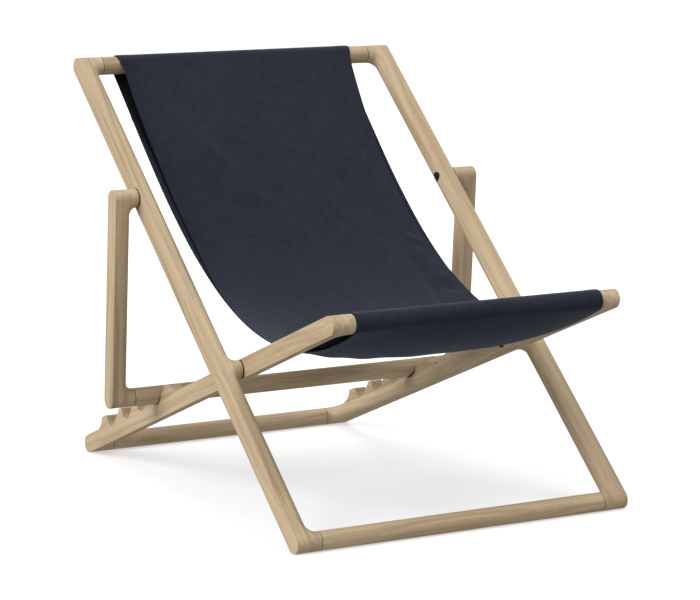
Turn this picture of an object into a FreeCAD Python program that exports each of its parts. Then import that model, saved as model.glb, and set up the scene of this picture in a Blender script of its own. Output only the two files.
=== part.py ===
import FreeCAD, Part

import math
import os

import Sketcher

# Folding deck chair: three nested frames of round-edged wood (back frame, seat frame with
# a toothed rack, prop frame) and an endless canvas loop over two of their crossbars.
# Millimetres, +Z up, +Y to the rear. Left is -X, as seen from in front of the chair.
# The origin is on the floor under the middle of the chair's bounding box.

# Driving dimensions: alias -> value
DIMENSIONS = {
    "bar_radius": 17.5,
    "rounding": 17.45,
    "member_depth": 34.0,
    "corner_fillet": 14.0,
    "boss_fillet": 9.0,
    "stub_reach": 50.0,
    "frame_step": 50.0,
    "seat_half_width": 297.0,
    "back_length": 1146.0,
    "back_angle": 41.8,
    "rail_length": 1045.0,
    "rail_angle": 21.5,
    "leg_pivot_distance": 384.0,
    "prop_pivot_distance": 805.0,
    "tenon_radius": 10.0,
    "tenon_length": 30.0,
    "tenon_clearance": 0.05,
    "tenon_relief": 1.0,
    "shoulder_chamfer": 1.0,
    "rack_depth": 26.0,
    "rack_top": 37.0,
    "rack_rear": 54.0,
    "rack_front": 440.0,
    "rack_root_inset": 10.0,
    "ramp_radius": 32.0,
    "run_out_radius": 50.0,
    "notch_radius": 18.0,
    "notch_height": 28.6,
    "notch_first": 126.0,
    "notch_pitch": 72.0,
    "notch_count": 4.0,
    "notch_ramp_angle": 36.0,
    "lip_radius": 4.0,
    "bolt_radius": 4.0,
    "bolt_head_radius": 8.0,
    "bolt_head_height": 8.0,
    "bolt_shank": 41.0,
    "hex_radius": 3.4,
    "hex_depth": 5.0,
    "recess_radius": 10.0,
    "recess_depth": 10.0,
    "running_clearance": 0.05,
    "insert_radius": 6.0,
    "insert_length": 16.0,
    "insert_hole_depth": 18.0,
    "pivot_gap": 1.1,
    "washer_radius": 10.0,
    "washer_thickness": 1.0,
    "canvas_half_width": 254.0,
    "canvas_thickness": 1.5,
    "canvas_gap": 0.7,
    "overrun": 1.0,
}
D = DIMENSIONS
SIDES = {"left": -1, "right": 1}
TOUCH = 0.01

doc = FreeCAD.newDocument("DeckChair")
sheet = doc.addObject("Spreadsheet::Sheet", "Sizes")
for row, (alias, value) in enumerate(DIMENSIONS.items(), start=1):
    sheet.set(f"A{row}", alias)
    sheet.set(f"B{row}", str(value))
    sheet.setAlias(f"B{row}", alias)
doc.recompute()


# ---------------------------------------------------------------- places in the side view
def polar(angle, distance):
    """A step of this length, in the side view, angle degrees above the rearward direction."""
    a = math.radians(angle)
    return FreeCAD.Vector(0, distance * math.cos(a), distance * math.sin(a))


def side_view_places():
    """The axes of the crossbars and the pivots, with y = 0 at the front foot bar."""
    floor_bar = D["bar_radius"]
    at = {"front_foot": FreeCAD.Vector(0, 0, floor_bar)}
    at["top"] = at["front_foot"] + polar(D["back_angle"], D["back_length"])
    at["seat_pivot"] = at["front_foot"] + polar(D["back_angle"], D["leg_pivot_distance"])
    at["prop_pivot"] = at["front_foot"] + polar(D["back_angle"], D["prop_pivot_distance"])
    drop = at["seat_pivot"].z - floor_bar
    rear_reach = drop / math.sin(math.radians(D["rail_angle"]))
    at["rear_foot"] = at["seat_pivot"] + polar(-D["rail_angle"], rear_reach)
    at["seat_front"] = at["rear_foot"] + polar(180 - D["rail_angle"], D["rail_length"])
    last_notch = D["notch_first"] + (D["notch_count"] - 1) * D["notch_pitch"]
    along = polar(180 - D["rail_angle"], last_notch)
    across = polar(90 - D["rail_angle"], D["notch_height"])
    at["prop_bar"] = at["rear_foot"] + along + across
    canvas_outside = D["bar_radius"] + D["canvas_gap"] + D["canvas_thickness"]
    front = at["seat_front"].y - canvas_outside
    rear = at["rear_foot"].y + D["bar_radius"]
    middle = FreeCAD.Vector(0, (front + rear) / 2, 0)
    return {name: point - middle for name, point in at.items()}


AT = side_view_places()
HALF_WIDTH = {
    "seat": D["seat_half_width"],
    "back": D["seat_half_width"] + D["frame_step"],
    "prop": D["seat_half_width"] + 2 * D["frame_step"],
}
RAIL_PIVOT = (AT["seat_pivot"] - AT["rear_foot"]).Length
PROP_LENGTH = (AT["prop_pivot"] - AT["prop_bar"]).Length
BOSS_REACH = "Sizes.frame_step - Sizes.pivot_gap"


def member_placement(frame, side, start, end):
    """Local x points from the outer face inwards, and local y from start to end."""
    inward = FreeCAD.Vector(-side, 0, 0)
    along = (end - start).normalize()
    turn = FreeCAD.Rotation(inward, along, inward.cross(along), "XYZ")
    base = FreeCAD.Vector(side * HALF_WIDTH[frame], start.y, start.z)
    return FreeCAD.Placement(base, turn)


# ---------------------------------------------------------------- building blocks
def bind(obj, **expressions):
    """Drive an object's properties by expressions of the sheet."""
    for quantity, expression in expressions.items():
        obj.setExpression(quantity, expression)


def evaluate(expression):
    """The present value of a sheet expression, for a sketch's first guess."""
    return float(sheet.evalExpression(expression))


def origin_plane(body, role):
    return next(o for o in body.Origin.OriginFeatures if o.Role == role)


def new_sketch(body, name, role):
    sketch = body.newObject("Sketcher::SketchObject", name)
    sketch.AttachmentSupport = (origin_plane(body, role), "")
    sketch.MapMode = "FlatFace"
    return sketch


def pin_point(sketch, geometry, end, x, y):
    """Hold one end of a sketch edge at x, y, each an expression and its present value."""
    for kind, (expression, value) in (("DistanceX", x), ("DistanceY", y)):
        index = sketch.addConstraint(Sketcher.Constraint(kind, -1, 1, geometry, end, value))
        sketch.setExpression(f"Constraints[{index}]", expression)


def polygon_sketch(sketch, corners):
    """A closed outline of straight lines. Each corner is a pair of sheet expressions."""
    valued = [[(e, evaluate(e)) for e in corner] for corner in corners]
    points = [FreeCAD.Vector(x[1], y[1], 0) for x, y in valued]
    count = len(points)
    for i in range(count):
        sketch.addGeometry(Part.LineSegment(points[i], points[(i + 1) % count]))
    for i in range(count):
        sketch.addConstraint(Sketcher.Constraint("Coincident", i, 2, (i + 1) % count, 1))
    for i, (x, y) in enumerate(valued):
        pin_point(sketch, i, 1, x, y)


def arc_end_at(sketch, geometry, point):
    """Which end of a sketch arc, 1 or 2, lies at this point."""
    arc = sketch.Geometry[geometry]
    return 1 if (arc.StartPoint - point).Length < TOUCH else 2


def edge_names(shape, chosen):
    """The names of a shape's edges for which chosen(edge) is true."""
    return [f"Edge{i}" for i, edge in enumerate(shape.Edges, start=1) if chosen(edge)]


def fillet(body, name, base, chosen, radius):
    feature = body.newObject("PartDesign::Fillet", name)
    feature.Base = (base, edge_names(base.Shape, chosen))
    bind(feature, Radius=radius)
    doc.recompute()
    return feature


def turned_x(kind, name, x, y, z="0", **sizes):
    """A turned shape along local x that starts at x. Every size is a sheet expression."""
    shape = doc.addObject(kind, name)
    bind(shape, **sizes)
    shape.Placement.Rotation = FreeCAD.Rotation(FreeCAD.Vector(0, 1, 0), 90)
    for axis, expression in zip("xyz", (x, y, z)):
        shape.setExpression(f"Placement.Base.{axis}", expression)
    return shape


def cylinder_x(name, radius, length, x, y="0", z="0"):
    return turned_x("Part::Cylinder", name, x, y, z, Radius=radius, Height=length)


def cut_holes(label, body, tools, placement):
    """The finished wooden member: the body less its holes, put in its place."""
    holes = doc.addObject("Part::MultiFuse", f"{label}_holes")
    holes.Shapes = tools
    member = doc.addObject("Part::Cut", label)
    member.Base = body
    member.Tool = holes
    member.Placement = placement
    return member


# ---------------------------------------------------------------- wooden members
def round_member(label, length, low_reach, high_reach, boss=None):
    """A leg with a round-edged section and a round stub at each end, made at the origin.

    Local x runs from the flat outer face inwards and local y along the leg. boss is the
    distance along the leg of a round boss that reaches boss_reach from the outer face.
    """
    body = doc.addObject("PartDesign::Body", f"{label}_wood")
    sketch = new_sketch(body, f"{label}_outline", "XY_Plane")
    r, depth, boss_reach = "Sizes.bar_radius", "Sizes.member_depth", BOSS_REACH
    corners = [("0", f"-{r}"), (low_reach, f"-{r}"), (low_reach, r), (depth, r)]
    if boss:
        corners += [(depth, f"{boss} - {r}"), (boss_reach, f"{boss} - {r}")]
        corners += [(boss_reach, f"{boss} + {r}"), (depth, f"{boss} + {r}")]
    corners += [(depth, f"{length} - {r}"), (high_reach, f"{length} - {r}")]
    corners += [(high_reach, f"{length} + {r}"), ("0", f"{length} + {r}")]
    polygon_sketch(sketch, corners)
    pad = body.newObject("PartDesign::Pad", f"{label}_pad")
    pad.Profile = sketch
    pad.Midplane = True
    bind(pad, Length="2 * Sizes.bar_radius")
    doc.recompute()

    def inner_corner(near_stub):
        def chosen(edge):
            middle = edge.CenterOfMass
            upright = abs(edge.Length - 2 * D["bar_radius"]) < TOUCH and abs(middle.z) < TOUCH
            on_inner_side = abs(middle.x - D["member_depth"]) < TOUCH
            at_end = min(middle.y, evaluate(length) - middle.y) < D["bar_radius"] + TOUCH
            return upright and on_inner_side and at_end == near_stub
        return chosen

    last = fillet(body, f"{label}_corners", pad, inner_corner(True), "Sizes.corner_fillet")
    if boss:
        last = fillet(body, f"{label}_boss_foot", last, inner_corner(False), "Sizes.boss_fillet")
    ends = [0.0, evaluate(low_reach), evaluate(high_reach)]
    if boss:
        ends.append(evaluate(boss_reach))

    def long_edge(edge):
        middle, box = edge.CenterOfMass, edge.BoundBox
        on_broad_face = abs(abs(middle.z) - D["bar_radius"]) < TOUCH and box.ZLength < TOUCH
        across_an_end = box.XLength < TOUCH and min(abs(middle.x - x) for x in ends) < TOUCH
        return on_broad_face and not across_an_end

    fillet(body, f"{label}_rounding", last, long_edge, "Sizes.rounding")
    return body


def socket(label, name, reach, along):
    """The hole for a crossbar's tenon, in the end of a stub."""
    depth = "Sizes.tenon_length + Sizes.tenon_relief"
    radius = "Sizes.tenon_radius + Sizes.tenon_clearance"
    return cylinder_x(f"{label}_{name}", radius, depth, f"{reach} - ({depth})", along)


def stub_rim(label, name, reach, along):
    """The ring of wood that a chamfer takes off the end of a stub."""
    size, over = "Sizes.shoulder_chamfer", "Sizes.overrun"
    start, length = f"{reach} - {size} - {over}", f"{size} + 2 * {over}"
    outside = f"Sizes.bar_radius + 2 * {over}"
    ring_outside = cylinder_x(f"{label}_{name}_outside", outside, length, start, along)
    cone = turned_x(
        "Part::Cone", f"{label}_{name}_cone", start, along,
        Radius1=f"Sizes.bar_radius + {over}",
        Radius2=f"Sizes.bar_radius - {size} - {over}",
        Height=length,
    )
    rim = doc.addObject("Part::Cut", f"{label}_{name}")
    rim.Base = ring_outside
    rim.Tool = cone
    return rim


def shank_hole(label, name, along):
    """The bolt's running hole through a member, and the recess for its head inside."""
    radius = "Sizes.bolt_radius + Sizes.running_clearance"
    through = "Sizes.member_depth + 2 * Sizes.overrun"
    bore = cylinder_x(f"{label}_{name}_bore", radius, through, "-Sizes.overrun", along)
    floor = "Sizes.member_depth - Sizes.recess_depth"
    depth = "Sizes.recess_depth + Sizes.overrun"
    recess = cylinder_x(f"{label}_{name}_recess", "Sizes.recess_radius", depth, floor, along)
    return [bore, recess]


def insert_hole(label, name, reach, along):
    """The hole for a threaded insert, in the end of a boss or a stub."""
    start = f"{reach} - Sizes.insert_hole_depth"
    depth = "Sizes.insert_hole_depth + Sizes.overrun"
    return cylinder_x(f"{label}_{name}", "Sizes.insert_radius", depth, start, along)


def back_leg(name, side):
    label = f"back_leg_{name}"
    length, pivot = "Sizes.back_length", "Sizes.leg_pivot_distance"
    reach = "Sizes.stub_reach"
    body = round_member(label, length, reach, reach, boss=pivot)
    holes = [
        socket(label, "foot_socket", reach, "0"),
        socket(label, "top_socket", reach, length),
        stub_rim(label, "foot_rim", reach, "0"),
        stub_rim(label, "top_rim", reach, length),
        stub_rim(label, "boss_rim", BOSS_REACH, pivot),
        insert_hole(label, "insert_hole", BOSS_REACH, pivot),
        *shank_hole(label, "prop_pivot", "Sizes.prop_pivot_distance"),
    ]
    place = member_placement("back", side, AT["front_foot"], AT["top"])
    return cut_holes(label, body, holes, place)


def prop_leg(name, side):
    label = f"prop_leg_{name}"
    length = f"{PROP_LENGTH:.4f}"
    body = round_member(label, length, "Sizes.stub_reach", BOSS_REACH)
    holes = [
        socket(label, "bar_socket", "Sizes.stub_reach", "0"),
        stub_rim(label, "bar_rim", "Sizes.stub_reach", "0"),
        stub_rim(label, "pivot_rim", BOSS_REACH, length),
        insert_hole(label, "insert_hole", BOSS_REACH, length),
    ]
    place = member_placement("prop", side, AT["prop_bar"], AT["prop_pivot"])
    return cut_holes(label, body, holes, place)


def notch_sketch(sketch, up):
    """One notch: a steep rear wall, a round seat for the bar, and a ramp to the front."""
    r, height, along = D["notch_radius"], D["notch_height"], D["notch_first"]
    ramp = math.radians(D["notch_ramp_angle"])
    top = up * (D["rack_top"] + D["overrun"])
    centre = FreeCAD.Vector(along, up * height, 0)
    rear = FreeCAD.Vector(along - r, up * height, 0)
    toe = FreeCAD.Vector(along + r * math.sin(ramp), up * (height - r * math.cos(ramp)), 0)
    rise = abs(top - toe.y)
    front = FreeCAD.Vector(toe.x + rise / math.tan(ramp), top, 0)
    rear_top = FreeCAD.Vector(along - r, top, 0)
    lowest = FreeCAD.Vector(along, up * (height - r), 0)
    wall = sketch.addGeometry(Part.LineSegment(rear_top, rear))
    seat = sketch.addGeometry(Part.Arc(rear, lowest, toe))
    slope = sketch.addGeometry(Part.LineSegment(toe, front))
    lid = sketch.addGeometry(Part.LineSegment(front, rear_top))
    arc_start, arc_end = (1, 2) if up > 0 else (2, 1)
    add = sketch.addConstraint
    add(Sketcher.Constraint("Tangent", wall, 2, seat, arc_start))
    add(Sketcher.Constraint("Tangent", seat, arc_end, slope, 1))
    add(Sketcher.Constraint("Coincident", slope, 2, lid, 1))
    add(Sketcher.Constraint("Coincident", lid, 2, wall, 1))
    add(Sketcher.Constraint("Vertical", wall))
    add(Sketcher.Constraint("Horizontal", lid))
    radius = add(Sketcher.Constraint("Radius", seat, r))
    sketch.setExpression(f"Constraints[{radius}]", "Sizes.notch_radius")
    sign = "" if up > 0 else "-"
    pin_point(
        sketch, seat, 3,
        ("Sizes.notch_first", centre.x),
        (f"{sign}Sizes.notch_height", centre.y),
    )
    lift = add(Sketcher.Constraint("DistanceY", -1, 1, lid, 1, top))
    sketch.setExpression(f"Constraints[{lift}]", f"{sign}(Sizes.rack_top + Sizes.overrun)")
    run = add(Sketcher.Constraint("DistanceX", slope, 1, slope, 2, front.x - toe.x))
    climb = "(Sizes.rack_top + Sizes.overrun - Sizes.notch_height"
    climb += " + Sizes.notch_radius * cos(Sizes.notch_ramp_angle))"
    sketch.setExpression(f"Constraints[{run}]", f"{climb} / tan(Sizes.notch_ramp_angle)")


def rack_plate_sketch(sketch, up):
    """The rack before its notches: a flat top with a hollow ramp down at each end."""
    sign = "" if up > 0 else "-"
    rise = "(Sizes.rack_top - Sizes.bar_radius)"
    flush, top = f"{sign}Sizes.bar_radius", f"{sign}Sizes.rack_top"
    ramp, run_out = "Sizes.ramp_radius", "Sizes.run_out_radius"
    rear, front = "Sizes.rack_rear", "Sizes.rack_front"

    def reach(radius):
        return f"sqrt({radius} ^ 2 - ({radius} - {rise}) ^ 2)"

    corners = [
        (f"{rear} + Sizes.rack_root_inset", "0"),
        (rear, flush),
        (f"{rear} + {reach(ramp)}", top),
        (f"{front} - {reach(run_out)}", top),
        (front, flush),
        (f"{front} - Sizes.rack_root_inset", "0"),
    ]
    valued = [[(e, evaluate(e)) for e in corner] for corner in corners]
    points = [FreeCAD.Vector(x[1], y[1], 0) for x, y in valued]

    def hollow(foot, crest, radius):
        """An arc from crest down to foot, level where it meets the rail."""
        lean = math.asin(abs(crest.x - foot.x) / radius) / 2
        across = math.copysign(radius * math.sin(lean), crest.x - foot.x)
        below = up * radius * (1 - math.cos(lean))
        start, end = (foot, crest) if up * across > 0 else (crest, foot)
        return Part.Arc(start, foot + FreeCAD.Vector(across, below, 0), end)

    hollows = {1: (1, 2, ramp), 3: (4, 3, run_out)}
    for i in range(len(points)):
        following = (i + 1) % len(points)
        if i in hollows:
            foot, crest, radius = hollows[i]
            sketch.addGeometry(hollow(points[foot], points[crest], evaluate(radius)))
        else:
            sketch.addGeometry(Part.LineSegment(points[i], points[following]))
    for i, (x, y) in enumerate(valued):
        if i not in hollows:
            pin_point(sketch, i, 1, x, y)
            pin_point(sketch, i, 2, *valued[(i + 1) % len(points)])
    for i, (foot, crest, radius) in hollows.items():
        for corner in (foot, crest):
            end = arc_end_at(sketch, i, points[corner])
            line = i - 1 if corner == i else i + 1
            line_end = 2 if corner == i else 1
            sketch.addConstraint(Sketcher.Constraint("Coincident", i, end, line, line_end))
        size = sketch.addConstraint(Sketcher.Constraint("Radius", i, evaluate(radius)))
        sketch.setExpression(f"Constraints[{size}]", radius)


def seat_rail(name, side):
    """The rack points up on both sides: local z is up on the right, down on the left."""
    label = f"seat_rail_{name}"
    up = side
    reach = "Sizes.stub_reach"
    body = round_member(label, "Sizes.rail_length", reach, reach)
    plate = new_sketch(body, f"{label}_rack_outline", "YZ_Plane")
    rack_plate_sketch(plate, up)
    rack = body.newObject("PartDesign::Pad", f"{label}_rack")
    rack.Profile = plate
    bind(rack, Length="Sizes.rack_depth")
    doc.recompute()
    notch = new_sketch(body, f"{label}_notch_outline", "YZ_Plane")
    notch_sketch(notch, up)
    pocket = body.newObject("PartDesign::Pocket", f"{label}_notch")
    pocket.Profile = notch
    pocket.Midplane = True
    bind(pocket, Length="4 * Sizes.member_depth")
    doc.recompute()
    notches = body.newObject("PartDesign::LinearPattern", f"{label}_notches")
    notches.Originals = [pocket]
    notches.Direction = (notch, ["H_Axis"])
    bind(
        notches,
        Length="(Sizes.notch_count - 1) * Sizes.notch_pitch",
        Occurrences="Sizes.notch_count",
    )
    body.Tip = notches
    doc.recompute()
    one_notch = rack.Shape.Volume - pocket.Shape.Volume
    all_notches = rack.Shape.Volume - notches.Shape.Volume
    if round(all_notches / one_notch) != D["notch_count"]:
        raise RuntimeError(f"{label} lacks a notch")

    def lip(edge):
        across = edge.BoundBox.YLength < TOUCH and edge.BoundBox.ZLength < TOUCH
        return across and abs(edge.CenterOfMass.z - up * D["rack_top"]) < TOUCH

    fillet(body, f"{label}_lips", notches, lip, "Sizes.lip_radius")
    holes = [
        socket(label, "rear_socket", reach, "0"),
        socket(label, "front_socket", reach, "Sizes.rail_length"),
        stub_rim(label, "rear_rim", reach, "0"),
        stub_rim(label, "front_rim", reach, "Sizes.rail_length"),
        *shank_hole(label, "seat_pivot", f"{RAIL_PIVOT:.4f}"),
    ]
    place = member_placement("seat", side, AT["rear_foot"], AT["seat_front"])
    return cut_holes(label, body, holes, place)


def crossbar(label, frame, centre):
    """A round bar between two stubs, with a tenon turned on each end."""
    steps = {"seat": 0, "back": 1, "prop": 2}[frame]
    half = f"(Sizes.seat_half_width + {steps} * Sizes.frame_step - Sizes.stub_reach)"
    shoulder = evaluate(half)
    bar = cylinder_x(f"{label}_bar", "Sizes.bar_radius", f"2 * {half}", f"-{half}")
    doc.recompute()
    eased = doc.addObject("Part::Chamfer", f"{label}_eased")
    eased.Base = bar
    size = D["shoulder_chamfer"]
    rims = [
        (i, size, size)
        for i, edge in enumerate(bar.Shape.Edges, start=1)
        if edge.Closed and abs(abs(edge.CenterOfMass.x) - shoulder) < TOUCH
    ]
    eased.Edges = rims
    core_half = f"({half} + Sizes.tenon_length)"
    core = cylinder_x(f"{label}_tenons", "Sizes.tenon_radius", f"2 * {core_half}", f"-{core_half}")
    whole = doc.addObject("Part::Fuse", label)
    whole.Base = eased
    whole.Tool = core
    whole.Placement.Base = centre
    return whole


# ---------------------------------------------------------------- pivots
def pivot_bolt(label):
    """A socket-head bolt along local x: the head's underside is at x = 0."""
    clearance = "Sizes.running_clearance"
    head = cylinder_x(f"{label}_head", "Sizes.bolt_head_radius", "Sizes.bolt_head_height", clearance)
    length = f"Sizes.bolt_shank + {clearance} + Sizes.overrun"
    shank = cylinder_x(f"{label}_shank", "Sizes.bolt_radius", length, "-Sizes.bolt_shank")
    solid = doc.addObject("Part::Fuse", f"{label}_solid")
    solid.Base = head
    solid.Tool = shank
    key = doc.addObject("Part::Prism", f"{label}_key")
    key.Polygon = 6
    bind(key, Circumradius="Sizes.hex_radius", Height="Sizes.hex_depth + Sizes.overrun")
    key.Placement.Rotation = FreeCAD.Rotation(FreeCAD.Vector(0, 1, 0), 90)
    start = f"{clearance} + Sizes.bolt_head_height - Sizes.hex_depth"
    key.setExpression("Placement.Base.x", start)
    bolt = doc.addObject("Part::Cut", label)
    bolt.Base = solid
    bolt.Tool = key
    return bolt


def ring(label, outer, inner, length):
    """A sleeve or washer along local x, from x = 0."""
    tube = cylinder_x(f"{label}_outside", outer, length, "0")
    through = f"{length} + 2 * Sizes.overrun"
    hole = cylinder_x(f"{label}_hole", inner, through, "-Sizes.overrun")
    part = doc.addObject("Part::Cut", label)
    part.Base = tube
    part.Tool = hole
    return part


def pivot(kind, name, side):
    """Bolt, threaded insert and washer of one pivot. Local x points inwards."""
    outer_frame, inner_frame = {"seat": ("back", "seat"), "prop": ("prop", "back")}[kind]
    centre = AT[f"{kind}_pivot"]
    face = HALF_WIDTH[inner_frame]
    inward = FreeCAD.Rotation(FreeCAD.Vector(-side, 0, 0), FreeCAD.Vector(0, 1, 0),
                              FreeCAD.Vector(0, 0, -side), "XYZ")

    def place(part, from_axis):
        base = FreeCAD.Vector(side * from_axis, centre.y, centre.z)
        part.Placement = FreeCAD.Placement(base, inward)
        return part

    bolt = pivot_bolt(f"{kind}_pivot_bolt_{name}")
    place(bolt, face - D["member_depth"] + D["recess_depth"])
    insert = ring(f"{kind}_pivot_insert_{name}", "Sizes.insert_radius",
                  "Sizes.bolt_radius", "Sizes.insert_length")
    place(insert, face + D["pivot_gap"] + D["insert_length"])
    washer = ring(f"{kind}_pivot_washer_{name}", "Sizes.washer_radius",
                  "Sizes.bolt_radius + Sizes.running_clearance", "Sizes.washer_thickness")
    place(washer, face + D["pivot_gap"])
    return [bolt, insert, washer]


# ---------------------------------------------------------------- canvas
# The hang of each layer between the bars: how far along the straight line from the top
# bar to the front bar, and how far below it. The layers meet under the sitter.
SHARE_ALONG = [0.30, 0.45, 0.58, 0.68, 0.77, 0.85, 0.915, 0.96]
UPPER_HANG = [131.5, 196.0, 224.5, 221.0, 200.0, 162.5, 108.5, 45.0]
LOWER_HANG = [153.0, 206.5, 228.0, 223.5, 203.5, 173.5, 137.5, 101.5]
UPPER_TOP_SLOPE = 51.0
LOWER_TOP_SLOPE = 46.0
FRONT_SLOPE = 50.0


def canvas_radius():
    """The cloth's middle layer where it wraps a bar."""
    return D["bar_radius"] + D["canvas_gap"] + D["canvas_thickness"] / 2


def canvas_loop(offset):
    """One side of the cloth in the side view: an arc round each bar and two layers."""
    radius = canvas_radius() + offset
    top, front = AT["top"], AT["seat_front"]
    chord = front - top
    down = FreeCAD.Vector(0, -chord.z, chord.y).normalize()

    def layer(start, hang, outwards, top_slope, end):
        points = [
            top + chord * share + down * (depth + outwards)
            for share, depth in zip(SHARE_ALONG, hang)
        ]
        curve = Part.BSplineCurve()
        curve.interpolate(
            Points=[start, *points, end],
            InitialTangent=polar(180 + top_slope, 1.0),
            FinalTangent=polar(180 - FRONT_SLOPE, 1.0),
        )
        return curve.toShape()

    upper_top = top + polar(UPPER_TOP_SLOPE + 90, radius)
    lower_top = top + polar(LOWER_TOP_SLOPE - 90, radius)
    upper_front = front + polar(90 - FRONT_SLOPE, radius)
    lower_front = front + polar(-90 - FRONT_SLOPE, radius)
    return Part.Wire(
        [
            layer(upper_top, UPPER_HANG, -offset, UPPER_TOP_SLOPE, upper_front),
            Part.Arc(upper_front, front + polar(180, radius), lower_front).toShape(),
            layer(lower_top, LOWER_HANG, offset, LOWER_TOP_SLOPE, lower_front),
            Part.Arc(lower_top, top + polar(LOWER_TOP_SLOPE, radius), upper_top).toShape(),
        ]
    )


def length_to_fold_flat():
    """The shortest loop that reaches round both bars when the frames lie in one plane."""
    back = (AT["top"] - AT["seat_pivot"]).Length
    seat = (AT["seat_front"] - AT["seat_pivot"]).Length
    return 2 * (back + seat) + 2 * math.pi * canvas_radius()


def canvas_sling():
    """An endless double layer of canvas over the top bar and the seat's front bar."""
    half = D["canvas_thickness"] / 2
    width = 2 * D["canvas_half_width"]
    section = Part.Face(canvas_loop(half)).cut(Part.Face(canvas_loop(-half)))
    section.translate(FreeCAD.Vector(-width / 2, 0, 0))
    sling = doc.addObject("Part::Feature", "sling")
    sling.Shape = section.Faces[0].extrude(FreeCAD.Vector(width, 0, 0))
    length = canvas_loop(0).Length
    print(f"canvas loop {length:.1f} mm, and {length_to_fold_flat():.1f} mm to fold flat")
    if length < length_to_fold_flat():
        raise RuntimeError("the canvas is too short for the chair to fold flat")
    return sling


# ---------------------------------------------------------------- the chair
def build_chair():
    nodes = [
        crossbar("front_foot_bar", "back", AT["front_foot"]),
        crossbar("top_crossbar", "back", AT["top"]),
        crossbar("rear_foot_bar", "seat", AT["rear_foot"]),
        crossbar("seat_front_bar", "seat", AT["seat_front"]),
        crossbar("prop_crossbar", "prop", AT["prop_bar"]),
        canvas_sling(),
    ]
    for name, side in SIDES.items():
        nodes.append(back_leg(name, side))
        nodes.append(seat_rail(name, side))
        nodes.append(prop_leg(name, side))
        nodes.extend(pivot("seat", name, side))
        nodes.extend(pivot("prop", name, side))
    doc.recompute()
    return nodes


def check_and_export(nodes):
    for obj in doc.Objects:
        if "Invalid" in obj.State or "Error" in obj.State:
            raise RuntimeError(f"{obj.Name} is {obj.State}")
    for node in nodes:
        shape = node.Shape
        if shape.isNull() or not shape.isValid() or len(shape.Solids) != 1:
            raise RuntimeError(f"{node.Label} is not one valid solid")
    os.makedirs("parts", exist_ok=True)
    for node in nodes:
        node.Shape.exportStep(f"parts/{node.Label}.step")


chair = build_chair()
check_and_export(chair)
for place, axis in AT.items():
    print(f"{place} axis at y {axis.y:.3f}, z {axis.z:.3f}")
print(f"rail pivot {RAIL_PIVOT:.2f} from the rear foot, prop length {PROP_LENGTH:.2f}")
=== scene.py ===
import math

import bpy
import numpy as np
from mathutils import Euler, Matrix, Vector, noise


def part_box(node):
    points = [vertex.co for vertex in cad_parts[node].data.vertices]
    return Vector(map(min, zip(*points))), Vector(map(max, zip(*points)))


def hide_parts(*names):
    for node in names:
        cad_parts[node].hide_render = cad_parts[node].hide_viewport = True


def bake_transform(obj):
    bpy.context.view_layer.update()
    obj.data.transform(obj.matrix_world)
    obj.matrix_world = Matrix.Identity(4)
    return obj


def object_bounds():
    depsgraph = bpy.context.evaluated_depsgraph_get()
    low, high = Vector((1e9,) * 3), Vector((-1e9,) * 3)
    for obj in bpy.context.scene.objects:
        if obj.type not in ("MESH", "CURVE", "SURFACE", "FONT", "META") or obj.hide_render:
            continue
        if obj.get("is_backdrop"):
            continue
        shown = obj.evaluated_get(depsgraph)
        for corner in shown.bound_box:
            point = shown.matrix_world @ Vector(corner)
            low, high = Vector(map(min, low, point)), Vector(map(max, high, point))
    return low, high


# Looks of the folding deck chair: oiled pale hardwood, navy canvas sling, black and zinc fittings.
# Metres, in the CAD's frame: +Z up, +Y to the rear, left is -X.

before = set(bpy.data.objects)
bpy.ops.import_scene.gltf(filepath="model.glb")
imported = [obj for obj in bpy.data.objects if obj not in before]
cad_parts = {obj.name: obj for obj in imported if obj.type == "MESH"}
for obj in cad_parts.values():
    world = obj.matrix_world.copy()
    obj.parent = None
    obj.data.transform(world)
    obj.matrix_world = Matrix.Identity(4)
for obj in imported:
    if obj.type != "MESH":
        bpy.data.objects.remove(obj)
CAD_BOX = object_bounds()

# Slope of each member in the side view, in degrees above the rearward direction.
BACK_SLOPE = 41.8
RAIL_SLOPE = -21.5
PROP_SLOPE = 94.2

WOOD = {
    "back_leg_left": BACK_SLOPE,
    "back_leg_right": BACK_SLOPE,
    "seat_rail_left": RAIL_SLOPE,
    "seat_rail_right": RAIL_SLOPE,
    "prop_leg_left": PROP_SLOPE,
    "prop_leg_right": PROP_SLOPE,
    "front_foot_bar": None,
    "top_crossbar": None,
    "rear_foot_bar": None,
    "seat_front_bar": None,
    "prop_crossbar": None,
}

# Colours are linear. The wood: its early wood from dark to light, the late wood's rings, the
# pores, and its edges, lightened as a painted highlight that also stands for handling wear. Then
# the canvas's threads, from dark to light.
WOOD_DARK = (0.298, 0.217, 0.126)
WOOD_MID = (0.392, 0.299, 0.187)
WOOD_LIGHT = (0.464, 0.368, 0.244)
WOOD_RING = (0.230, 0.158, 0.088)
WOOD_PORE = (0.130, 0.085, 0.045)
WOOD_EDGE_WEAR_AND_HIGHLIGHT = (0.470, 0.385, 0.275)

CANVAS_DARK = (0.0070, 0.0082, 0.0158)
CANVAS_MID = (0.0115, 0.0130, 0.0232)
CANVAS_LIGHT = (0.0176, 0.0196, 0.0330)

# The studio's light: its darkest and brightest levels, where it is brightest, and the level of
# the white ground that the camera sees.
SKY_DARK = 0.34
SKY_BRIGHT = 1.05
BRIGHT_SIDE = Vector((-0.60, -0.38, 0.70)).normalized()
GROUND = 1.05
# Each soft light's name, strength and direction from the chair, and their width in degrees.
LIGHTS = (
    ("side_window", 2.7, (-0.84, 0.02, 0.54)),
    ("overhead_window", 1.25, (0.26, -0.22, 0.94)),
)
LIGHT_WIDTH = 40

# The pale floor: its reach from the middle, its reflectance and its own light, which keeps the
# chair's shadow faint.
FLOOR_REACH = 9
FLOOR_PAINT = 0.46
FLOOR_GLOW = 0.50

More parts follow.
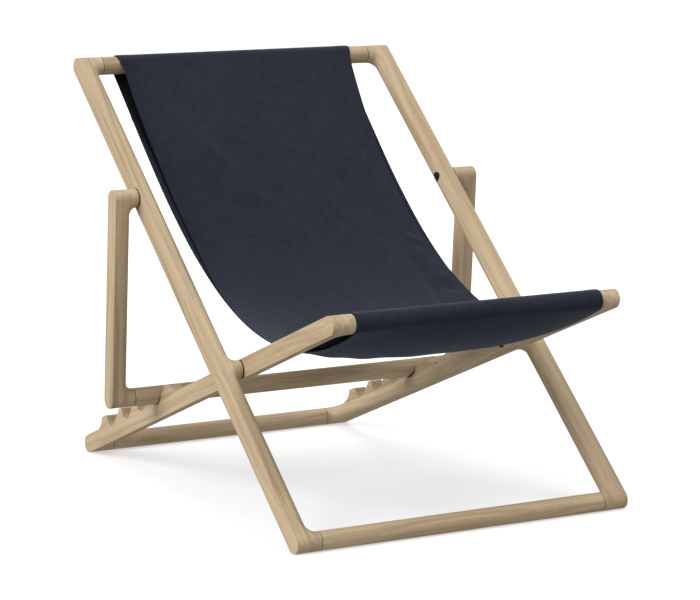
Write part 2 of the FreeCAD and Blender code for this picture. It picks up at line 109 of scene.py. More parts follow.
# The camera, at the photo's angle. Its pitch and turn are in degrees.
CAMERA_PLACE = (-2.7020, -4.6974, 1.2309)
CAMERA_PITCH = -9.196
CAMERA_TURN = -30.16
CAMERA_LENS = 148.8
SENSOR_WIDTH = 36

# The pitch of the canvas's threads.
THREAD = 0.0006


# ---------------------------------------------------------------- shader building
def new_tree(name):
    material = bpy.data.materials.new(name)
    material.use_nodes = True
    material.node_tree.nodes.clear()
    return material, material.node_tree


def node(tree, kind, inputs=None, **settings):
    """A shader node. inputs maps a name or a number to a value or to another node's socket."""
    made = tree.nodes.new("ShaderNode" + kind)
    for key, value in settings.items():
        setattr(made, key, value)
    for key, value in (inputs or {}).items():
        if isinstance(value, bpy.types.NodeSocket):
            tree.links.new(value, made.inputs[key])
        else:
            made.inputs[key].default_value = value
    return made


def math_node(tree, operation, a, b=0.0):
    return node(tree, "Math", {0: a, 1: b}, operation=operation).outputs[0]


def ramp(tree, factor, stops):
    """A colour ramp's output. Each stop is a position and a grey level or a colour."""
    made = node(tree, "ValToRGB", {0: factor})
    elements = made.color_ramp.elements
    while len(elements) < len(stops):
        elements.new(0.5)
    for element, (position, value) in zip(elements, stops):
        colour = (value, value, value) if isinstance(value, float) else value
        element.position = position
        element.color = (*colour, 1)
    return made.outputs["Color"]


def mix(tree, factor, a, b, blend="MIX"):
    inputs = {"Factor": factor, "A": a, "B": b}
    made = tree.nodes.new("ShaderNodeMix")
    made.data_type = "RGBA"
    made.blend_type = blend
    sockets = {"Factor": made.inputs[0], "A": made.inputs[6], "B": made.inputs[7]}
    for key, value in inputs.items():
        if isinstance(value, bpy.types.NodeSocket):
            tree.links.new(value, sockets[key])
        elif key == "Factor":
            sockets[key].default_value = value
        else:
            sockets[key].default_value = (*value, 1)
    return made.outputs[2]


def scaled(tree, vector, scale):
    return node(tree, "Mapping", {"Vector": vector, "Scale": scale}).outputs[0]


def noise_at(tree, vector, scale, detail=2.0, roughness=0.5):
    moved = scaled(tree, vector, scale)
    inputs = {"Vector": moved, "Scale": 1.0, "Detail": detail, "Roughness": roughness}
    return node(tree, "TexNoise", inputs).outputs["Fac"]


def finish_tree(tree, shader):
    node(tree, "OutputMaterial", {"Surface": shader.outputs[0]})


# ---------------------------------------------------------------- materials
def wood_grain(tree, slope):
    """Places in the wood with the grain along Y, a little wavy, and different in each piece."""
    place = node(tree, "TexCoord").outputs["Object"]
    turn = (0, 0, math.radians(-90)) if slope is None else (math.radians(slope), 0, 0)
    along_y = node(tree, "Mapping", {"Vector": place, "Rotation": turn}, vector_type="TEXTURE")
    chance = node(tree, "ObjectInfo").outputs["Random"]
    shift = node(
        tree,
        "CombineXYZ",
        {0: math_node(tree, "MULTIPLY", chance, 1.7), 1: math_node(tree, "MULTIPLY", chance, 5.3)},
    )
    sawn = node(tree, "VectorMath", {0: along_y.outputs[0], 1: shift.outputs[0]}, operation="ADD")
    stock = sawn.outputs[0]
    drift = node(tree, "TexNoise", {"Vector": stock, "Scale": 2.2, "Detail": 1.0})
    centred = node(
        tree, "VectorMath", {0: drift.outputs["Color"], 1: (0.5, 0.5, 0.5)}, operation="SUBTRACT"
    )
    bend = node(tree, "VectorMath", {0: centred.outputs[0], "Scale": 0.05}, operation="SCALE")
    return node(tree, "VectorMath", {0: stock, 1: bend.outputs[0]}, operation="ADD").outputs[0]


def wood_tone(tree, grain, fibres, pores):
    """The colour of clean wood."""
    rings = node(
        tree,
        "TexWave",
        {"Vector": grain, "Scale": 70.0, "Distortion": 3.0, "Detail": 2.0, "Detail Scale": 1.4},
        wave_type="RINGS",
        rings_direction="Y",
    ).outputs["Fac"]
    streaks = noise_at(tree, grain, (120, 2.0, 120), 3.0, 0.55)
    boards = noise_at(tree, grain, (16, 1.8, 16), 2.0, 0.5)
    tone = ramp(tree, streaks, [(0.28, WOOD_DARK), (0.52, WOOD_MID), (0.78, WOOD_LIGHT)])
    late_wood = ramp(tree, rings, [(0.35, 0.0), (1.0, 1.0)])
    tone = mix(tree, math_node(tree, "MULTIPLY", late_wood, 0.16), tone, WOOD_RING)
    fade = ramp(tree, boards, [(0.35, (0.86, 0.83, 0.79)), (0.65, (1.04, 1.04, 1.04))])
    tone = mix(tree, 1.0, tone, fade, "MULTIPLY")
    fine = ramp(tree, fibres, [(0.25, 0.80), (0.60, 1.0)])
    tone = mix(tree, 0.8, tone, fine, "MULTIPLY")
    return mix(tree, math_node(tree, "MULTIPLY", pores, 0.22), tone, WOOD_PORE)


def wood_with_painted_light_and_wear(tree, tone, eased):
    """The colour with the edges lightened, a painted highlight that also stands for handling wear,
    and with painted shade darkening the joints and crevices that nearby wood hides from the light.
    """
    flat = node(tree, "NewGeometry").outputs["Normal"]
    straight = node(tree, "VectorMath", {0: eased, 1: flat}, operation="DOT_PRODUCT")
    # Painted highlight, partly handling wear: the colour is lightened where the rounded edge bends
    # away from the flat face.
    edge = ramp(tree, straight.outputs["Value"], [(0.90, 1.0), (0.99, 0.0)])
    tone = mix(tree, math_node(tree, "MULTIPLY", edge, 0.55), tone, WOOD_EDGE_WEAR_AND_HIGHLIGHT)
    # Painted shade: the colour darkens in joints, seams and crevices, wherever nearby wood hides a
    # point.
    occlusion_shade = node(tree, "AmbientOcclusion", {"Distance": 0.003}, samples=8).outputs["AO"]
    painted_seam_shade = ramp(tree, occlusion_shade, [(0.60, (0.06, 0.045, 0.03)), (0.90, (1.0, 1.0, 1.0))])
    return mix(tree, 1.0, tone, painted_seam_shade, "MULTIPLY")


def wood_material(name, slope):
    """Pale oiled hardwood with its grain along the member. slope None is a crossbar along X."""
    material, tree = new_tree(name)
    grain = wood_grain(tree, slope)
    fibres = noise_at(tree, grain, (700, 9, 700), 3.0, 0.6)
    pores = ramp(tree, noise_at(tree, grain, (1900, 45, 1900), 1.0), [(0.62, 0.0), (0.72, 1.0)])
    eased = node(tree, "Bevel", {"Radius": 0.0018}, samples=4).outputs[0]
    tone = wood_with_painted_light_and_wear(tree, wood_tone(tree, grain, fibres, pores), eased)
    rough = node(tree, "MapRange", {"Value": fibres, "To Min": 0.66, "To Max": 0.50})
    relief = math_node(tree, "SUBTRACT", fibres, math_node(tree, "MULTIPLY", pores, 0.9))
    bump = node(
        tree,
        "Bump",
        {"Height": relief, "Strength": 0.35, "Distance": 0.00018, "Normal": eased},
    )
    shader = node(
        tree,
        "BsdfPrincipled",
        {
            "Base Color": tone,
            "Roughness": rough.outputs[0],
            "Specular IOR Level": 0.30,
            "Normal": bump.outputs[0],
        },
    )
    finish_tree(tree, shader)
    return material


def canvas_material():
    """Navy canvas: a plain weave with slubs, read from the cloth's own map."""
    material, tree = new_tree("navy_canvas")
    cloth = node(tree, "UVMap", uv_map="cloth").outputs[0]
    pitch = math.pi / THREAD
    parts = node(tree, "SeparateXYZ", {0: cloth})
    warp_wave = math_node(tree, "SINE", math_node(tree, "MULTIPLY", parts.outputs[0], pitch))
    weft_wave = math_node(tree, "SINE", math_node(tree, "MULTIPLY", parts.outputs[1], pitch))
    over = math_node(tree, "MULTIPLY", warp_wave, weft_wave)
    warp_on_top = math_node(tree, "GREATER_THAN", over, 0.0)
    warp_round = math_node(tree, "ABSOLUTE", warp_wave)
    weft_round = math_node(tree, "ABSOLUTE", weft_wave)
    height = node(tree, "Mix", {0: warp_on_top, 2: weft_round, 3: warp_round}).outputs[0]

    warp_slub = noise_at(tree, cloth, (900, 22, 1), 2.0, 0.6)
    weft_slub = noise_at(tree, cloth, (22, 900, 1), 2.0, 0.6)
    patches = noise_at(tree, cloth, (7, 5, 1), 3.0, 0.55)
    warp_band = noise_at(tree, cloth, (420, 30, 1), 2.0, 0.6)
    weft_band = noise_at(tree, cloth, (30, 420, 1), 2.0, 0.6)
    fine_slubs = math_node(tree, "ADD", warp_slub, weft_slub)
    wide_slubs = math_node(tree, "ADD", warp_band, weft_band)
    slubs = math_node(tree, "MULTIPLY", math_node(tree, "ADD", fine_slubs, wide_slubs), 0.25)
    tone = ramp(
        tree,
        slubs,
        [(0.41, CANVAS_DARK), (0.50, CANVAS_MID), (0.59, CANVAS_LIGHT)],
    )
    worn = ramp(tree, patches, [(0.35, 0.84), (0.65, 1.0)])
    tone = mix(tree, 1.0, tone, worn, "MULTIPLY")
    thread = node(tree, "MapRange", {"Value": height, "To Min": 0.72, "To Max": 1.06})
    tone = mix(tree, 1.0, tone, thread.outputs[0], "MULTIPLY")
    # Painted shade: the colour darkens between the two layers, where hardly any light gets in.
    occlusion_shade = node(tree, "AmbientOcclusion", {"Distance": 0.10}, samples=8).outputs["AO"]
    tone = mix(tree, 1.0, tone, ramp(tree, occlusion_shade, [(0.38, 0.03), (0.90, 1.0)]), "MULTIPLY")
    relief = math_node(tree, "ADD", height, math_node(tree, "MULTIPLY", slubs, 1.5))
    bump = node(tree, "Bump", {"Height": relief, "Strength": 0.5, "Distance": 0.00012})
    shader = node(
        tree,
        "BsdfPrincipled",
        {
            "Base Color": tone,
            "Roughness": 0.86,
            "Specular IOR Level": 0.14,
            "Sheen Weight": 0.13,
            "Sheen Roughness": 0.45,
            "Sheen Tint": (0.58, 0.68, 0.86, 1),
            "Normal": bump.outputs[0],
        },
    )
    finish_tree(tree, shader)
    return material


def thread_material():
    """Twisted sewing thread of the canvas's own colour."""
    material, tree = new_tree("navy_thread")
    place = node(tree, "TexCoord").outputs["Object"]
    twist = noise_at(tree, place, (2500, 2500, 2500), 1.0)
    tone = ramp(tree, twist, [(0.35, (0.011, 0.0125, 0.021)), (0.65, (0.022, 0.025, 0.038))])
    bump = node(tree, "Bump", {"Height": twist, "Strength": 0.4, "Distance": 0.0001}).outputs[0]
    inputs = {"Base Color": tone, "Roughness": 0.75, "Specular IOR Level": 0.2, "Normal": bump}
    finish_tree(tree, node(tree, "BsdfPrincipled", inputs))
    return material


def metal_material(name, dark, light, roughness, metallic):
    """Plated or blackened steel with fine turning marks and a little mottling."""
    material, tree = new_tree(name)
    place = node(tree, "TexCoord").outputs["Object"]
    mottle = noise_at(tree, place, (260, 260, 260), 3.0, 0.6)
    marks = noise_at(tree, place, (400, 5200, 5200), 1.0)
    tone = ramp(tree, mottle, [(0.35, dark), (0.65, light)])
    rough = node(
        tree,
        "MapRange",
        {"Value": mottle, "To Min": roughness - 0.08, "To Max": roughness + 0.10},
    )
    eased = node(tree, "Bevel", {"Radius": 0.0004}, samples=4)
    bump = node(
        tree,
        "Bump",
        {"Height": marks, "Strength": 0.25, "Distance": 0.00005, "Normal": eased.outputs[0]},
    )
    shader = node(
        tree,
        "BsdfPrincipled",
        {
            "Base Color": tone,
            "Metallic": metallic,
            "Roughness": rough.outputs[0],
            "Normal": bump.outputs[0],
        },
    )
    finish_tree(tree, shader)
    return material


def nylon_material():
    """Matte black nylon with the faint mottling of a moulded washer."""
    material, tree = new_tree("black_nylon")
    mottle = noise_at(tree, node(tree, "TexCoord").outputs["Object"], (900, 900, 900), 2.0)
    tone = ramp(tree, mottle, [(0.35, 0.016), (0.65, 0.024)])
    rough = node(tree, "MapRange", {"Value": mottle, "To Min": 0.55, "To Max": 0.7})
    bump = node(tree, "Bump", {"Height": mottle, "Strength": 0.2, "Distance": 0.0001})
    inputs = {"Base Color": tone, "Roughness": rough.outputs[0], "Normal": bump.outputs[0]}
    finish_tree(tree, node(tree, "BsdfPrincipled", inputs))
    return material


def paint_frame():
    woods = {
        slope: wood_material(f"oiled_wood_{i}", slope)
        for i, slope in enumerate((BACK_SLOPE, RAIL_SLOPE, PROP_SLOPE, None))
    }
    black = metal_material("black_steel", (0.012, 0.012, 0.013), (0.030, 0.030, 0.032), 0.42, 0.85)
    zinc = metal_material("zinc", (0.50, 0.51, 0.53), (0.66, 0.67, 0.68), 0.34, 1.0)
    nylon = nylon_material()
    for name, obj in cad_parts.items():
        if name in WOOD:
            material = woods[WOOD[name]]
        elif "bolt" in name:
            material = black
        elif "washer" in name:
            material = nylon
        else:
            material = zinc
        obj.data.materials.clear()
        obj.data.materials.append(material)


# ---------------------------------------------------------------- the sling's shape
# How far each layer hangs below the straight line from the top bar to the seat's front bar, in
# metres, at these shares of that line: at mid-width, and at the edges, which hang higher. The
# slopes are the cloth's at the two bars, in degrees, at mid-width and at the edges.
SHARES = (0.30, 0.45, 0.58, 0.68, 0.77, 0.85, 0.915, 0.96)
UPPER = {
    "middle": (0.1315, 0.196, 0.2245, 0.221, 0.200, 0.1625, 0.1085, 0.045),
    "edge": (0.139, 0.184, 0.2025, 0.1985, 0.178, 0.1395, 0.088, 0.0315),
    "top_slope": (51.0, 60.0),
    "front_slope": (50.0, 42.0),
}
LOWER = {
    "middle": (0.153, 0.2065, 0.228, 0.2235, 0.2035, 0.1735, 0.1375, 0.1015),
    "edge": (0.144, 0.187, 0.2045, 0.200, 0.180, 0.1465, 0.106, 0.0695),
    "top_slope": (46.0, 46.0),
    "front_slope": (50.0, 28.0),
}
# How sharply the hang changes towards the edges.
EDGE_POWER = 3.3

# The cut cloth, its thickness, the radius of its middle layer on the bars, the hems' width, and
# how far it has shifted along each bar.
HALF_WIDTH = 0.254
CLOTH = 0.0009
WRAP_RADIUS = 0.0192
HEM = 0.025
TOP_SHIFT = -0.005
FRONT_SHIFT = 0.004

# Each layer's half-width at shares of the way down: the cloth spreads a little on the top bar,
# and the tension draws the upper layer in below it.
UPPER_WIDTH = (
    (0.0, 0.2605), (0.03, 0.254), (0.10, 0.2505), (0.22, 0.245), (0.40, 0.245), (0.52, 0.2525),
    (0.60, 0.255),
)
LOWER_WIDTH = ((0.0, 0.2605), (0.30, 0.258), (0.60, 0.255))

# The joint that closes the loop laps the rear layer over this part of its length.
LAP = (0.10, 0.114)
LAP_EDGE = 0.0006

# Half of a hem's outline, edge last: how far in from the cloth's edge, in metres, and the height
# from the middle of the cloth, in half-thicknesses. The stitching pulls the outside down.
HEM_OUTSIDE = (
    (0.0290, 1.0), (0.0265, 1.0), (0.0250, 1.2), (0.0240, 1.1), (0.0225, 0.75), (0.0210, 1.0),
    (0.0190, 1.3), (0.0150, 1.5), (0.0080, 1.5), (0.0030, 1.5), (0.0010, 1.2),
)
HEM_TURN = ((0.0002, 0.4), (0.0, -0.8), (0.0004, -2.0), (0.0015, -2.8))
HEM_INSIDE = (
    (0.0060, -3.0), (0.0150, -3.0), (0.0240, -2.9), (0.0249, -2.4), (0.0253, -1.2),
    (0.0275, -1.0),
)
PLAIN_INSET = 0.033
PLAIN_COLUMNS = 62
PUCKER_HEIGHT = 0.00016
PUCKER_PITCH = 0.017

STITCH_PITCH = 0.0042
STITCH_RADIUS = 0.00038
STITCH_INSET = 0.0225
STITCH_SIDES = 6

# The mesh's steps along each layer and round each bar. The upper layer comes first.
LAYER_STEPS = 250
WRAP_STEPS = 24
TOP_LAYER = slice(0, LAYER_STEPS)

# How far from a bar's axis the folds begin, and over what distance they grow.
HELD = 0.025
GROWING = 0.10


def bar_axis(name):
    """A crossbar's axis in the side view, as (y, z)."""
    low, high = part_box(name)
    middle = (low + high) / 2
    return np.array([middle.y, middle.z])


TOP_BAR = bar_axis("top_crossbar")
FRONT_BAR = bar_axis("seat_front_bar")
CHORD = FRONT_BAR - TOP_BAR
DOWN = np.array([-CHORD[1], CHORD[0]]) / np.linalg.norm(CHORD)
CHORD_LENGTH = round(np.linalg.norm(CHORD), 2)


def heading(degrees):
    """A unit direction in the side view."""
    a = math.radians(degrees)
    return np.array([math.cos(a), math.sin(a)])


def smooth_curve(points, start_slope, end_slope, stations):
    """A cubic spline through points in the side view, at these shares of its length."""
    points = np.array(points)
    chord = np.linalg.norm(np.diff(points, axis=0), axis=1)
    at = np.concatenate([[0], np.cumsum(chord)])
    n = len(points)
    system = np.zeros((n, n))
    wanted = np.zeros((n, 2))
    system[0, 0] = system[-1, -1] = 1
    wanted[0], wanted[-1] = start_slope, end_slope
    for i in range(1, n - 1):
        before, after = chord[i - 1], chord[i]
        system[i, i - 1 : i + 2] = [after, 2 * (before + after), before]
        rise = (points[i + 1] - points[i]) / after
        fall = (points[i] - points[i - 1]) / before
        wanted[i] = 3 * (before * rise + after * fall)
    slopes = np.linalg.solve(system, wanted)
    t = np.array(stations) * at[-1]
    i = np.clip(np.searchsorted(at, t, side="right") - 1, 0, n - 2)
    width = chord[i][:, None]
    s = (t - at[i])[:, None] / width
    return (
        (2 * s**3 - 3 * s**2 + 1) * points[i]
        + (s**3 - 2 * s**2 + s) * width * slopes[i]
        + (3 * s**2 - 2 * s**3) * points[i + 1]
        + (s**3 - s**2) * width * slopes[i + 1]
    )


def layer_stations(lapped):
    """Shares of a layer's length, with more of them where the lap begins and ends."""
    even = np.linspace(0, 1, LAYER_STEPS)
    if not lapped:
        return even
    close = [edge + step for edge in LAP for step in (-LAP_EDGE, 0.0, LAP_EDGE)]
    clear = [t for t in even if min(abs(t - edge) for edge in LAP) > 2 * LAP_EDGE]
    return np.sort(np.concatenate([clear, close]))


UPPER_STATIONS = layer_stations(False)
LOWER_STATIONS = layer_stations(True)


def between(pair, lift):
    """From the first of the pair, at mid-width, to the second, at the edges."""
    return pair[0] + (pair[1] - pair[0]) * lift


def loop_section(across):
    """The cloth's middle line in the side view at across, from -1 at one edge to 1 at the other.

    It starts at the top bar and runs down the upper layer, round the front bar and back.
    """
    lift = abs(across) ** EDGE_POWER

    def on_bar(bar, degrees):
        return bar + WRAP_RADIUS * heading(degrees)

    def layer(form, side, stations):
        top_slope = between(form["top_slope"], lift)
        front_slope = between(form["front_slope"], lift)
        hang = [
            TOP_BAR + CHORD * share + DOWN * between(depths, lift)
            for share, depths in zip(SHARES, zip(form["middle"], form["edge"]))
        ]
        start = on_bar(TOP_BAR, top_slope + 90 * side)
        end = on_bar(FRONT_BAR, 180 - 90 * side - front_slope)
        slopes = heading(180 + top_slope), heading(180 - front_slope)
        return smooth_curve([start, *hang, end], *slopes, stations)

    def wrap(bar, start, end):
        turns = np.linspace(start, end, WRAP_STEPS + 1)[1:-1]
        return np.array([on_bar(bar, degrees) for degrees in turns])

    upper = layer(UPPER, 1, UPPER_STATIONS)
    lower = layer(LOWER, -1, LOWER_STATIONS)
    upper_front, lower_front = [between(form["front_slope"], lift) for form in (UPPER, LOWER)]
    upper_top, lower_top = [between(form["top_slope"], lift) for form in (UPPER, LOWER)]
    front = wrap(FRONT_BAR, 90 - upper_front, 270 - lower_front)
    top = wrap(TOP_BAR, lower_top - 90, upper_top + 90)
    return np.concatenate([upper, front, lower[::-1], top])


def outward(line):
    """The unit normal of a closed line in the side view, away from its inside."""
    ahead = np.roll(line, -1, axis=0) - np.roll(line, 1, axis=0)
    ahead /= np.linalg.norm(ahead, axis=1)[:, None]
    return np.stack([ahead[:, 1], -ahead[:, 0]], axis=1)


def window(value, low, high, soft):
    """1 between low and high, falling smoothly to 0 over soft on each side."""
    rise = np.clip((value - low) / soft + 1, 0, 1)
    fall = np.clip((high - value) / soft + 1, 0, 1)
    both = np.minimum(rise, fall)
    return both * both * (3 - 2 * both)


def noise_along(x, share, scale_x, scale_share, seed):
    """Smooth noise, the same in each run, at x and each share."""
    return np.array([noise.noise(Vector((x * scale_x, s * scale_share, seed))) for s in share])


def ridge(at, middle, width):
    """A smooth ridge, 1 high, across at."""
    return np.exp(-(((at - middle) / width) ** 2))


def upper_folds(x, share):
    """Folds of the layer that is sat on, in metres: a crease and puckers near the right edge, and
    soft tension folds from the two top corners. share is how far down the chair each point is."""
    crease = -0.0048 * ridge(x, 0.203, 0.011) * window(share, 0.42, 0.80, 0.10)
    slanted = noise_along(x, share - x * 0.55, 26, 34, 5.3)
    puckers = 0.0062 * ridge(x, 0.226, 0.020) * slanted * window(share, 0.45, 0.86, 0.10)
    from_left = (x + 0.262) - 0.62 * share
    left = 0.0022 * ridge(from_left, 0, 0.016) - 0.0016 * ridge(from_left, 0.04, 0.022)
    left = left * window(share, 0.06, 0.30, 0.10)
    from_right = x - 0.235 + 0.25 * share
    right = -0.0020 * ridge(from_right, 0, 0.016) * window(share, 0.04, 0.16, 0.06)
    broad = 0.0014 * noise_along(x, share, 9, 3.0, 3.1)
    small = 0.0008 * noise_along(x, share, 16, 8.0, 8.7)
    return crease + puckers + left + right + broad + small


def lower_folds(x, share):
    """Folds of the rear layer, in metres: a fan from the front bar's left end, and slanted ones
    at the right."""
    along, across = (1.02 - share) * CHORD_LENGTH, x + 0.262
    reach, turn = np.hypot(across, along), np.arctan2(along, across)
    fan = 0.0008 * np.sin(turn * 17 + 0.6)
    fan = fan * window(reach, 0.06, 0.22, 0.12) * window(turn, 0.1, 1.3, 0.3)
    slant = np.sin((share * CHORD_LENGTH + (0.262 - x) * 0.8) * 75)
    pulls = 0.0011 * slant * ridge(x, 0.25, 0.09) * window(share, 0.55, 0.93, 0.08)
    broad = 0.0012 * noise_along(x, share, 6, 3.0, 21.4)
    small = 0.0005 * noise_along(x, share, 13, 9, 2.9)
    return fan + pulls + broad + small


def folds(x, line):
    """Every fold of the cloth at x, in metres along its normal, and none where it is held."""
    held = np.minimum(
        np.linalg.norm(line - TOP_BAR, axis=1), np.linalg.norm(line - FRONT_BAR, axis=1)
    )
    free = np.clip((held - HELD) / GROWING, 0, 1)
    share = (line - TOP_BAR) @ CHORD / (CHORD @ CHORD)
    height = lower_folds(x, share)
    height[TOP_LAYER] = upper_folds(x, share[TOP_LAYER])
    return free * height


def sideways(x, line):
    """Where x lies once the cloth has shifted on its bars and its upper layer has drawn in."""
    share = (line - TOP_BAR) @ CHORD / (CHORD @ CHORD)
    shift = TOP_SHIFT + (FRONT_SHIFT - TOP_SHIFT) * np.clip(share, 0, 1)
    half_width = np.interp(share, *zip(*LOWER_WIDTH))
    sat_on = np.r_[TOP_LAYER, len(line) - WRAP_STEPS + 1 : len(line)]
    half_width[sat_on] = np.interp(share[sat_on], *zip(*UPPER_WIDTH))
    pulled = abs(x / HALF_WIDTH) ** 4
    return x * (1 + (half_width / HALF_WIDTH - 1) * pulled) + shift


def lap_height():
    """How much of a second thickness of cloth lies on the outside at each station."""
    inside = (LOWER_STATIONS > LAP[0] - 0.0001) & (LOWER_STATIONS < LAP[1] + 0.0001)
    wraps = np.zeros(WRAP_STEPS - 1)
    return np.concatenate([np.zeros(LAYER_STEPS), wraps, inside[::-1].astype(float), wraps])


LAP_HEIGHT = lap_height()


def cloth_line(x, offset):
    """One line of points round the loop, offset from the middle of the cloth along its normal."""
    line = loop_section(x / HALF_WIDTH)
    step = np.linalg.norm(np.roll(line, -1, axis=0) - line, axis=1)
    around = np.concatenate([[0], np.cumsum(step)])
    hem = max(0.0, 1 - abs(HALF_WIDTH - 0.6 * HEM - abs(x)) / (0.5 * HEM))
    pucker = PUCKER_HEIGHT * hem * np.sin(around[:-1] * 2 * math.pi / PUCKER_PITCH + 9 * x)
    lap = LAP_HEIGHT * (CLOTH if offset > 0 else 0)
    out = offset + folds(x, line) + pucker + lap
    raised = line + outward(line) * out[:, None]
    return np.column_stack([sideways(x, line), raised]), around


def hem_profile():
    """The cloth's outline across its width: pairs of x and offset from its middle layer.

    Each edge is turned inwards into a hem.
    """
    half = CLOTH / 2
    spread = np.linspace(-HALF_WIDTH + PLAIN_INSET, HALF_WIDTH - PLAIN_INSET, PLAIN_COLUMNS)
    edge = HEM_OUTSIDE + HEM_TURN + HEM_INSIDE
    right = [(HALF_WIDTH - inset, level * half) for inset, level in edge]
    left = [(-x, level) for x, level in reversed(right)]
    return [(x, half) for x in spread] + right + [(x, -half) for x in spread[::-1]] + left


def new_object(name, mesh, material):
    obj = bpy.data.objects.new(name, mesh)
    bpy.context.scene.collection.objects.link(obj)
    mesh.materials.append(material)
    mesh.polygons.foreach_set("use_smooth", [True] * len(mesh.polygons))
    return obj


def sling_mesh():
    """The canvas as one closed mesh, with a map of the flat cloth in metres."""
    profile = hem_profile()
    lines = [cloth_line(x, offset) for x, offset in profile]
    columns, stations = len(lines), len(lines[0][0])
    faces, coordinates = [], []
    for c in range(columns):
        after = (c + 1) % columns
        for s in range(stations):
            ahead = (s + 1) % stations
            corners = ((c, s), (c, ahead), (after, ahead), (after, s))
            faces.append([column * stations + station for column, station in corners])
            for column, station in ((c, s), (c, s + 1), (after, s + 1), (after, s)):
                coordinates += [profile[column][0], lines[column][1][station]]
    mesh = bpy.data.meshes.new("sling_canvas")
    mesh.from_pydata(np.concatenate([line for line, _ in lines]).tolist(), [], faces)
    layer = mesh.uv_layers.new(name="cloth")
    layer.data.foreach_set("uv", coordinates)
    mesh.validate()
    mesh.update()
    return mesh


def even_points(line, pitch):
    """Points a pitch apart along a line, and the unit direction of the line at each."""
    step = np.linalg.norm(np.diff(line, axis=0), axis=1)
    at = np.concatenate([[0], np.cumsum(step)])
    wanted = np.arange(0.5 * pitch, at[-1], pitch)

    def along(distance):
        return np.column_stack([np.interp(distance, at, line[:, k]) for k in range(3)])

    ahead = along(wanted + 0.3 * pitch) - along(wanted - 0.3 * pitch)
    return along(wanted), ahead / np.linalg.norm(ahead, axis=1)[:, None]


def stitch_rows():
    """Lines of stitching with the cloth's outward direction along each."""
    half = CLOTH / 2
    for side in (-1, 1):
        x = side * (HALF_WIDTH - STITCH_INSET)
        line, _ = cloth_line(x, 0.75 * half)
        normal = outward(loop_section(x / HALF_WIDTH))
        line, normal = np.vstack([line, line[:1]]), np.vstack([normal, normal[:1]])
        yield line, np.column_stack([np.zeros(len(normal)), normal])
    lapped = np.nonzero(LAP_HEIGHT)[0]
    spread = np.linspace(-HALF_WIDTH + 0.004, HALF_WIDTH - 0.004, 60)
    lines = [cloth_line(x, half)[0] for x in spread]
    normals = [outward(loop_section(x / HALF_WIDTH)) for x in spread]
    for one, two in ((lapped[0], lapped[1]), (lapped[-1], lapped[-2])):
        row = np.array([0.72 * line[one] + 0.28 * line[two] for line in lines])
        normal = np.array([[0, *normal[one]] for normal in normals])
        yield row, normal


def stitches_mesh():
    """Every stitch as a short thread that dips into the cloth at both ends."""
    shape = [(-0.42, -0.5, 0.6), (-0.25, 0.25, 1.0), (0.25, 0.25, 1.0), (0.42, -0.5, 0.6)]
    sides = STITCH_SIDES
    points, faces = [], []
    for line, normals in stitch_rows():
        centres, ahead = even_points(line, STITCH_PITCH)
        at = np.linspace(0, len(line) - 1, len(centres))
        up = np.column_stack([np.interp(at, range(len(line)), normals[:, k]) for k in range(3)])
        for centre, forward, out in zip(centres, ahead, up):
            across = np.cross(out, forward)
            first = len(points)
            for along, height, girth in shape:
                for i in range(sides):
                    a = 2 * math.pi * i / sides
                    ring = across * math.cos(a) * girth + out * (height + math.sin(a) * girth)
                    points.append(centre + forward * along * STITCH_PITCH + ring * STITCH_RADIUS)
            for r in range(len(shape) - 1):
                low = first + r * sides
                for i in range(sides):
                    j = (i + 1) % sides
                    faces.append([low + i, low + j, low + sides + j, low + sides + i])
            faces.append([first + i for i in range(sides)][::-1])
            faces.append([first + (len(shape) - 1) * sides + i for i in range(sides)])
    mesh = bpy.data.meshes.new("sling_stitches")
    mesh.from_pydata([tuple(p) for p in points], [], faces)
    mesh.validate()
    mesh.update()
    return mesh


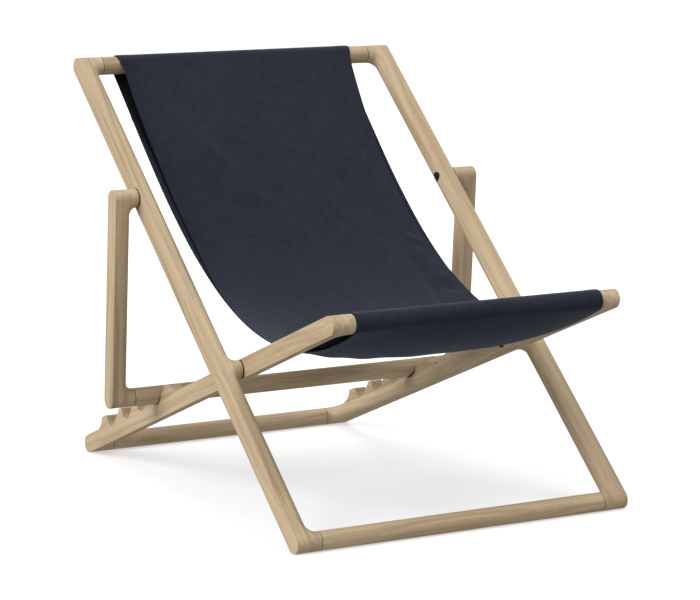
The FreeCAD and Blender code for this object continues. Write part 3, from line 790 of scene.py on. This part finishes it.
# ---------------------------------------------------------------- stage, light and camera
def make_world():
    """Soft studio light, brighter from above and from the front left, on a plain white ground."""
    world = bpy.data.worlds.new("studio")
    world.use_nodes = True
    tree = world.node_tree
    tree.nodes.clear()
    towards = node(tree, "TexCoord").outputs["Generated"]
    facing = node(
        tree, "VectorMath", {0: towards, 1: tuple(BRIGHT_SIDE)}, operation="DOT_PRODUCT"
    )
    limits = {"From Min": -1.0, "From Max": 1.0, "To Min": SKY_DARK, "To Max": SKY_BRIGHT}
    level = node(tree, "MapRange", {"Value": facing.outputs["Value"], **limits})
    white = {"Color": (1, 1, 1, 1)}
    light = node(tree, "Background", {**white, "Strength": level.outputs[0]})
    ground = node(tree, "Background", {**white, "Strength": GROUND})
    seen = node(tree, "LightPath").outputs["Is Camera Ray"]
    both = node(tree, "MixShader", {0: seen, 1: light.outputs[0], 2: ground.outputs[0]})
    node(tree, "OutputWorld", {"Surface": both.outputs[0]})
    bpy.context.scene.world = world


def make_stage():
    """A pale floor under two wide, soft lights. The floor throws no light back up."""
    mesh = bpy.data.meshes.new("floor")
    signs = ((-1, -1), (1, -1), (1, 1), (-1, 1))
    corners = [(x * FLOOR_REACH, y * FLOOR_REACH, 0) for x, y in signs]
    mesh.from_pydata(corners, [], [(0, 1, 2, 3)])
    material, tree = new_tree("pale_floor")
    inputs = {
        "Base Color": (FLOOR_PAINT, FLOOR_PAINT, FLOOR_PAINT, 1),
        "Roughness": 0.9,
        "Specular IOR Level": 0.0,
        "Emission Color": (1, 1, 1, 1),
        "Emission Strength": FLOOR_GLOW,
    }
    finish_tree(tree, node(tree, "BsdfPrincipled", inputs))
    floor = new_object("floor", mesh, material)
    floor.visible_diffuse = floor.visible_glossy = floor.visible_shadow = False
    floor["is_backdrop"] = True

    make_world()
    for name, strength, towards in LIGHTS:
        data = bpy.data.lights.new(name, "SUN")
        data.energy = strength
        data.angle = math.radians(LIGHT_WIDTH)
        light = bpy.data.objects.new(name, data)
        light.rotation_euler = Vector(towards).to_track_quat("Z", "Y").to_euler()
        bpy.context.scene.collection.objects.link(light)


def make_camera():
    data = bpy.data.cameras.new("camera")
    data.sensor_width = SENSOR_WIDTH
    data.lens = CAMERA_LENS
    camera = bpy.data.objects.new("camera", data)
    camera.location = CAMERA_PLACE
    turn = (math.radians(90 + CAMERA_PITCH), 0, math.radians(CAMERA_TURN))
    camera.rotation_euler = Euler(turn)
    bpy.context.scene.collection.objects.link(camera)
    bpy.context.scene.camera = camera


def write_sizes():
    boxes = {"cad": CAD_BOX, "visual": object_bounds()}
    plain = {key: [list(corner) for corner in box] for key, box in boxes.items()}


paint_frame()
sling = new_object("sling_canvas", sling_mesh(), canvas_material())
stitches = new_object("sling_stitches", stitches_mesh(), thread_material())
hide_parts("sling")
for piece in (sling, stitches):
    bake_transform(piece)
make_stage()
make_camera()
bpy.context.scene.view_settings.view_transform = "Standard"
write_sizes()
